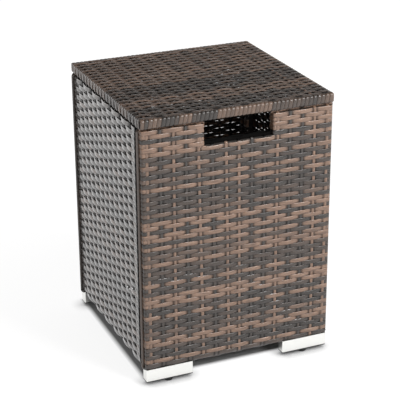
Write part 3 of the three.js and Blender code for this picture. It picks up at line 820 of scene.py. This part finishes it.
def weavePanel(name, panel, seed):
    node = name + "_panel_weave"
    low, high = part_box(node)
    size, middle = high - low, (low + high) / 2
    half, thickness = max(size.x, size.y) / 2, min(size.x, size.y)
    bottom, top, offset = low.z, high.z, math.hypot(middle.x, middle.y)
    weave, notch = panel["weave"], panel.get("notch")
    rowPitch, rowStart, uprightPitch = panel["rowPitch"], panel["rowStart"], panel["uprightPitch"]
    rows, uprights = [], []

    def rowRoute(left, right, wrap):
        return panelRoute(left, right, thickness, weave, weave["cornerRadius"], 0, wrap)

    def uprightRoute(lower, upper, wrap):
        return panelRoute(lower, upper, thickness, weave, weave["rimRadius"], rowStart, wrap)

    def onRim(route, high, number):
        return rimStations(route, rowPitch, weave["rimLap"], high, number)

    def addRows(route, stations):
        rows.append(layStrands(route, stations, weave, weave["rowWidth"], uprightPitch,
                               weave["rowSteps"], weave["rowHump"], 1, seed))

    def addUprights(route, stations, width=weave["uprightWidth"]):
        uprights.append(layStrands(route, stations, weave, width, rowPitch,
                                   weave["uprightSteps"], weave["uprightHump"], 0, seed + 1))

    def onFace(route, numbers, upright):
        pitch, start = (uprightPitch, 0) if upright else (rowPitch, rowStart)
        return [faceStation(route, start + number * pitch, number, upright) for number in numbers]

    wholeRow, wholeUpright = rowRoute(-half, half, "sleeve"), uprightRoute(bottom, top, "sleeve")
    firstRow, lastRow = panel["rows"]
    spans = [(-half, half)]
    count = panel["uprights"]
    outerUprights = list(range(-count, count + 1))
    if notch:
        addRows(wholeRow, onFace(wholeRow, range(firstRow, notch["lastRow"] + 1), False))
        spans = [(-half, -notch["half"]), (notch["half"], half)]
        for left, right in spans:
            column = rowRoute(left, right, "sleeve")
            addRows(column, onFace(column, range(notch["lastRow"] + 1, lastRow + 1), False))
        sill = uprightRoute(bottom, notch["bottom"], "sleeve")
        inner = range(-notch["lastUpright"], notch["lastUpright"] + 1)
        addUprights(sill, onFace(sill, inner, True))
        outerUprights = [number for number in outerUprights if number not in inner]
        reach = notch["half"] + notch["sillTuck"]
        sillRow = rowRoute(-reach, reach, "none")
        addRows(sillRow, onRim(sill, True, notch["rimRow"]))
    else:
        addRows(wholeRow, onFace(wholeRow, range(firstRow, lastRow + 1), False))
    for left, right in spans:
        rim = rowRoute(left, right, "corner")
        addRows(rim, onRim(wholeUpright, True, lastRow + 1))
    lowRim = rowRoute(-half, half, "corner")
    addRows(lowRim, onRim(wholeUpright, False, firstRow - 1))
    addUprights(wholeUpright, onFace(wholeUpright, outerUprights, True))
    edge = {**uprightRoute(bottom, top, "corner"), "lift": lambda distance: 0.0}
    edgePlace = wholeRow["corner"] + panel["edgeShare"] * wholeRow["side"]
    faceLow, faceHigh = wholeRow["faceEnds"]
    edgeStations = []
    for side, distance in ((-1, faceLow - edgePlace), (1, faceHigh + edgePlace)):
        (x, deep, across), angle, number = stationOn(wholeRow, distance, side * (count + 1), True)
        edgeStations.append(((x, deep, across - side * weave["edgeRise"]), angle, number))
    addUprights(edge, edgeStations, weave["edgeWidth"])

    place = Matrix.Rotation(panel["turn"], 4, "Z") @ Matrix.Translation((0, -offset, 0))
    kinds = (("rows", rows, panel["rowTones"], panel["otherRows"], 0, Matrix()),
             ("uprights", uprights, panel["uprightTones"], panel["otherUprights"], 2, uprightAxes))
    for kind, meshes, tones, rest, axis, axes in kinds:
        for mesh in meshes:
            mesh.transform(axes)
        piece = joinPieces(name + "_" + kind, meshes)
        paintTones(piece.data, tones, rest, axis, seed, weave["paintedSheen"])
        paintSeamShade(piece.data, panel)
        leanAndDrift(piece.data, panel, bottom, top)
        piece.data.transform(place)
        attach(piece, "base")
        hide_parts(node)
        print(piece.name, len(piece.data.polygons), "faces")


for name, panel, seed in (("front", frontPanel, 11), ("back", backPanel, 23),
                          ("left", leftPanel, 37), ("right", rightPanel, 53)):
    weavePanel(name, panel, seed)

# The lid: the same weave laid flat, with short strands wrapped over its front and back rims

lidWeave = {
    **panelWeave,
    # a weak coat on the lid, part of the painted reflection set per face
    "paintedSheen": 0.22,
    "rowHump": 1.6 * mm,
    "dipSharpness": 1.1,
    "inset": 1.35 * mm,
    "cornerRadius": 3.2 * mm,
    "rowPitch": 8.83 * mm,
    "rowStart": 4.415 * mm,
    "rows": (-22, 21),
    "uprightPitch": 28.3 * mm,
    "uprightStart": 14.15 * mm,
    "uprights": (-7, 6),
    "uprightInset": 12.5 * mm,  # ends this far inside the rim, under the first row
    "flatBand": (4.3 * mm, 12 * mm),
    "lowFlatBand": (4.3 * mm, 12 * mm),
    "edgeRowHump": 0.3 * mm,
    "edgeRowRise": 0.45 * mm,
    "wrapPitch": 8.6 * mm,
    "wraps": 46,
    "wrapWidth": 8.9 * mm,
    "wrapLean": 0.2,  # sideways for each unit of height
    "wrapLeanStart": 20 * mm,  # from the lid's ends, where they lean fully
    "wrapToneSpread": 0.12,
    "wrapStep": 2 * mm,
    "wrapReach": 13 * mm,
    "wrapSink": 0.9 * mm,
    "wrapSinkShare": 0.55,  # of its reach, where a wrap begins to come up
    "otherUprights": (0.05, 0.1, 0.3, 0.6),
    "backWraps": (0.1, 1, 0.05, 0.9, 0.1),
}

# From the back: the rows down to just over each number take one of these tones
lidRowBands = (
    (-2, (0.25, 0.35, 0.45)), (-11, (0.05, 0.15)), (-16, (0.4, 0.55, 0.3)), (-23, (0.05, 0.15, 0.1)))
# From the left: where a band of wraps begins, in mm across, and its tone
frontWrapBands = ((-197, 0.5), (-187, 0), (-179, 0.45), (-153, 0), (-123, 0.5), (-97, 0),
                  (-42, 0.5), (73, 0.2), (181, 0.5))


def wrapRoute(half, thickness, weave):
    # From under the first row, up over the rim, down the side and in under the rail
    radius, inset, small = weave["cornerRadius"], weave["inset"], weave["sleeveRadius"]
    depth = thickness / 2 - inset
    corner = (radius * math.pi / 2, math.pi / 2)
    turnBack = (small * math.pi / 2, math.pi / 2)
    inner = (weave["sleeveWidth"] - inset - radius - small, 0)
    reach = (weave["wrapReach"] - inset - radius, 0)
    start = (half - weave["wrapReach"], -depth)
    segments = [reach, corner, (2 * (depth - radius), 0), corner, inner, turnBack, (weave["tail"], 0)]
    sink = weave["wrapSink"] / weave["rowHump"]

    def lift(distance):
        return float(np.interp(distance, (weave["wrapSinkShare"] * reach[0], reach[0]), (-sink, 0)))

    return {"segments": segments, "start": start, "heading": 0.0, "lift": lift, "origin": 0.0,
            "faceDepth": -depth}


def layRange(first, last):
    return list(range(first, last + 1))


def weaveLid(weave, seed):
    low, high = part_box("lid_weave")
    half, thickness = (high.x - low.x) / 2, high.z - low.z
    rowPitch, uprightPitch = weave["rowPitch"], weave["uprightPitch"]
    place = Matrix.Translation((0, 0, (low.z + high.z) / 2)) @ Matrix.Rotation(-math.pi / 2, 4, "X")
    firstRow, lastRow = weave["rows"]
    rowRoute = panelRoute(-half, half, thickness, weave, weave["cornerRadius"],
                          weave["uprightStart"], "sleeve")

    def layRows(numbers, hump, rise):
        stations = [faceStation(rowRoute, weave["rowStart"] + number * rowPitch, number, False)
                    for number in numbers]
        raised = [((x, y - rise, z), tilt, number) for (x, y, z), tilt, number in stations]
        return layStrands(rowRoute, raised, weave, weave["rowWidth"], uprightPitch,
                          weave["rowSteps"], hump, 1, seed)

    rows = joinPieces("lid_rows", [
        layRows(layRange(firstRow + 1, lastRow - 1), weave["rowHump"], 0),
        layRows([firstRow, lastRow], weave["edgeRowHump"], weave["edgeRowRise"])])
    chooser = random.Random(seed)
    rowTones, number = {}, lastRow
    for last, choices in lidRowBands:
        while number > last:
            rowTones[number] = chooser.choice(choices)
            number -= 1
    paintTones(rows.data, rowTones, (0.1,), 0, seed, weave["paintedSheen"])

    reach = half - weave["uprightInset"]
    uprightRoute = panelRoute(-reach, reach, thickness, weave, weave["cornerRadius"],
                              weave["rowStart"], "none")
    stations = [faceStation(uprightRoute, weave["uprightStart"] + number * uprightPitch, number, True)
                for number in layRange(*weave["uprights"])]
    mesh = layStrands(uprightRoute, stations, weave, weave["uprightWidth"], rowPitch,
                      weave["uprightSteps"], weave["uprightHump"], 0, seed)
    mesh.transform(uprightAxes)
    uprights = joinPieces("lid_uprights", [mesh])
    paintTones(uprights.data, {}, weave["otherUprights"], 2, seed, weave["paintedSheen"])

    # Every wrap has an even number, so that all of them rise alike
    middle = weave["wraps"] - 1
    over = wrapRoute(half, thickness, weave)
    wrapStations = [faceStation(over, (number - middle) * weave["wrapPitch"] / 2, number, True)
                    for number in range(0, 2 * weave["wraps"], 2)]
    wraps = []
    for end in ("back", "front"):
        mesh = layStrands(over, wrapStations, weave, weave["wrapWidth"], half,
                          half / weave["wrapStep"], weave["rowHump"], 0, seed + 5)
        mesh.transform(uprightAxes)
        tones = {}
        if end == "front":
            mesh.transform(Matrix.Rotation(math.pi, 4, "Y"))
            bandPlaces, bandTones = zip(*frontWrapBands)
            for _, _, number in wrapStations:
                across = (middle - number) * weave["wrapPitch"] / 2 / mm
                band = bandTones[max(0, int(np.searchsorted(bandPlaces, across)) - 1)]
                tones[number] = band + chooser.uniform(-weave["wrapToneSpread"], weave["wrapToneSpread"])
            places = readPoints(mesh)
            fromEnd = half - np.abs(places[:, 0])
            lean = weave["wrapLean"] * np.clip(fromEnd / weave["wrapLeanStart"], 0, 1)
            places[:, 0] -= lean * (places[:, 1] - places[:, 1].min())
            mesh.vertices.foreach_set("co", places.ravel())
        piece = joinPieces("lid_wraps_" + end, [mesh])
        paintTones(piece.data, tones, weave["backWraps"], 2, seed, weave["paintedWrapSheen"])
        wraps.append(piece)
    for piece in (rows, uprights, *wraps):
        piece.data.transform(place)
        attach(piece, "lid")
        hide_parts("lid_weave")
        print(piece.name, len(piece.data.polygons), "faces")


weaveLid(lidWeave, 71)

# The pieces that stay as they are get their finish

finishes = (
    # The first of these that is part of a node's name gives its material
    ("_frame", moulded["framePowderCoat"]), ("_mid_rail", moulded["framePowderCoat"]),
    ("foot_plug", moulded["blackPlastic"]), ("glide_pad", moulded["blackPlastic"]),
    ("lid_locator", moulded["blackPlastic"]), ("lid_bumper", moulded["bumperRubber"]),
    ("foot_screw", metals["zincSteel"]), ("glide_stem", metals["zincSteel"]),
    ("panel_bolt", metals["zincSteel"]), ("rivet_nut", metals["zincSteel"]),
    ("foot_", metals["brushedFoot"]),
)


def finishNodes():
    for name, node in nodes.items():
        for part, material in finishes:
            if part in name:
                for slot in node.material_slots:
                    slot.material = material
                break


finishNodes()
print("finishes set")

# Floor, world and lamps

studio = {
    "floorSize": 14.0,
    "floorShade": 0.45,
    "floorRoughness": 0.9,
    "floorGlow": 0.82,  # only what the camera and reflections see
    "floorShadowReach": 0.03,
    "floorShadowDepth": 1.6,
    "floorShadowSamples": 8,
    "paintedShadowMiddle": 0.0225,  # painted shadow under the box: the floor's glow is held off in a rectangle, this far behind the origin
    "paintedShadowHalf": (0.185, 0.197),
    "paintedShadowShort": 0.003,  # and this much shorter to the front and back
    "plainLevel": 0.3,  # from all sides, on what isn't glossy
    "horizon": 1.0,  # in reflections
    "zenith": 0.12,
    "horizonEnd": (0.1, 0.28),  # upward part of the direction, where one turns into the other
    "lamps": (
        # name, place, size, power
        ("keyLamp", (1.5, -2.5, 2.2), 1.5, 85),
        ("fillLamp", (-2.8, -1.2, 1.6), 1.6, 3),
        ("rimLamp", (0.9, -0.95, 2.4), 0.6, 4),
        ("sideLamp", (-1.7, 2.3, 1.2), 1.8, 14),
    ),
    "aim": (0, 0, 0.28),
}


def seenDirectly(tree):
    path = addNode(tree, "ShaderNodeLightPath")
    seen = calculate(tree, "ADD", path.outputs["Is Camera Ray"], path.outputs["Is Glossy Ray"])
    return addNode(tree, "ShaderNodeMath", {0: seen, 1: path.outputs["Is Transmission Ray"]},
                   operation="ADD", use_clamp=True).outputs[0]


def makeFloor():
    half = studio["floorSize"] / 2
    mesh = bpy.data.meshes.new("floor")
    mesh.from_pydata(
        [(-half, -half, 0), (half, -half, 0), (half, half, 0), (-half, half, 0)], [], [(0, 1, 2, 3)])
    floor = bpy.data.objects.new("floor", mesh)
    bpy.context.scene.collection.objects.link(floor)
    material, tree, shader = newMaterial("paleFloor")
    shade = studio["floorShade"]
    setInputs(shader, {
        "Base Color": (shade, shade, shade, 1), "Roughness": studio["floorRoughness"],
        "Specular IOR Level": 0, "Emission Color": (1, 1, 1, 1)})
    nearness = addNode(tree, "ShaderNodeAmbientOcclusion", {"Distance": studio["floorShadowReach"]},
                       samples=studio["floorShadowSamples"])
    # painted shadow: inside a rectangle under the box the glow is held off
    place = addNode(tree, "ShaderNodeTexCoord").outputs["Object"]
    parts = addNode(tree, "ShaderNodeSeparateXYZ", {0: place}).outputs
    behind = calculate(tree, "SUBTRACT", parts["Y"], studio["paintedShadowMiddle"])
    fromMiddle = calculate(tree, "ADD", calculate(tree, "ABSOLUTE", behind), studio["paintedShadowShort"])
    reach = calculate(tree, "MAXIMUM", calculate(tree, "ABSOLUTE", parts["X"]), fromMiddle)
    clearOfPaintedShadow = addNode(tree, "ShaderNodeMapRange", {
        "Value": reach, "From Min": studio["paintedShadowHalf"][0],
        "From Max": studio["paintedShadowHalf"][1]}).outputs[0]
    openness = calculate(tree, "MULTIPLY", clearOfPaintedShadow,
                         calculate(tree, "POWER", nearness.outputs["AO"], studio["floorShadowDepth"]))
    glow = calculate(tree, "MULTIPLY", calculate(tree, "MULTIPLY", seenDirectly(tree), openness),
                     studio["floorGlow"])
    tree.links.new(glow, shader.inputs["Emission Strength"])
    # From below the floor is clear, so that the underside can be looked at
    below = addNode(tree, "ShaderNodeNewGeometry").outputs["Backfacing"]
    clear = addNode(tree, "ShaderNodeBsdfTransparent")
    either = addNode(tree, "ShaderNodeMixShader", {0: below, 1: shader.outputs[0], 2: clear.outputs[0]})
    tree.links.new(either.outputs[0], tree.nodes["Material Output"].inputs["Surface"])
    mesh.materials.append(material)


def makeWorld():
    world = bpy.data.worlds.new("studio")
    bpy.context.scene.world = world
    world.use_nodes = True
    tree = world.node_tree
    background = tree.nodes["Background"]
    direction = addNode(tree, "ShaderNodeTexCoord").outputs["Generated"]
    parts = addNode(tree, "ShaderNodeSeparateXYZ", {0: direction})
    level = addNode(tree, "ShaderNodeMapRange", {
        "Value": parts.outputs["Z"],
        "From Min": studio["horizonEnd"][0], "From Max": studio["horizonEnd"][1],
        "To Min": studio["horizon"], "To Max": studio["zenith"]})
    path = addNode(tree, "ShaderNodeLightPath")
    straight = addNode(tree, "ShaderNodeMath", {
        0: path.outputs["Is Camera Ray"], 1: path.outputs["Is Transmission Ray"]},
        operation="ADD", use_clamp=True).outputs[0]
    strength = addNode(tree, "ShaderNodeMix", data_type="FLOAT")
    tree.links.new(straight, strength.inputs["Factor"])
    reflected = addNode(tree, "ShaderNodeMix", data_type="FLOAT")
    tree.links.new(path.outputs["Is Glossy Ray"], reflected.inputs["Factor"])
    reflected.inputs["A"].default_value = studio["plainLevel"]
    tree.links.new(level.outputs[0], reflected.inputs["B"])
    tree.links.new(reflected.outputs["Result"], strength.inputs["A"])
    strength.inputs["B"].default_value = 1.0
    tree.links.new(strength.outputs["Result"], background.inputs["Strength"])
    background.inputs["Color"].default_value = (1, 1, 1, 1)


def makeLamps():
    aim = Vector(studio["aim"])
    for name, place, size, power in studio["lamps"]:
        data = bpy.data.lights.new(name, "AREA")
        data.size = size
        data.energy = power
        lamp = bpy.data.objects.new(name, data)
        bpy.context.scene.collection.objects.link(lamp)
        lamp.location = place
        lamp.rotation_euler = (aim - Vector(place)).to_track_quat("-Z", "Y").to_euler()


makeFloor()
makeWorld()
makeLamps()
bpy.context.scene.view_settings.view_transform = "Standard"
print("studio lit")
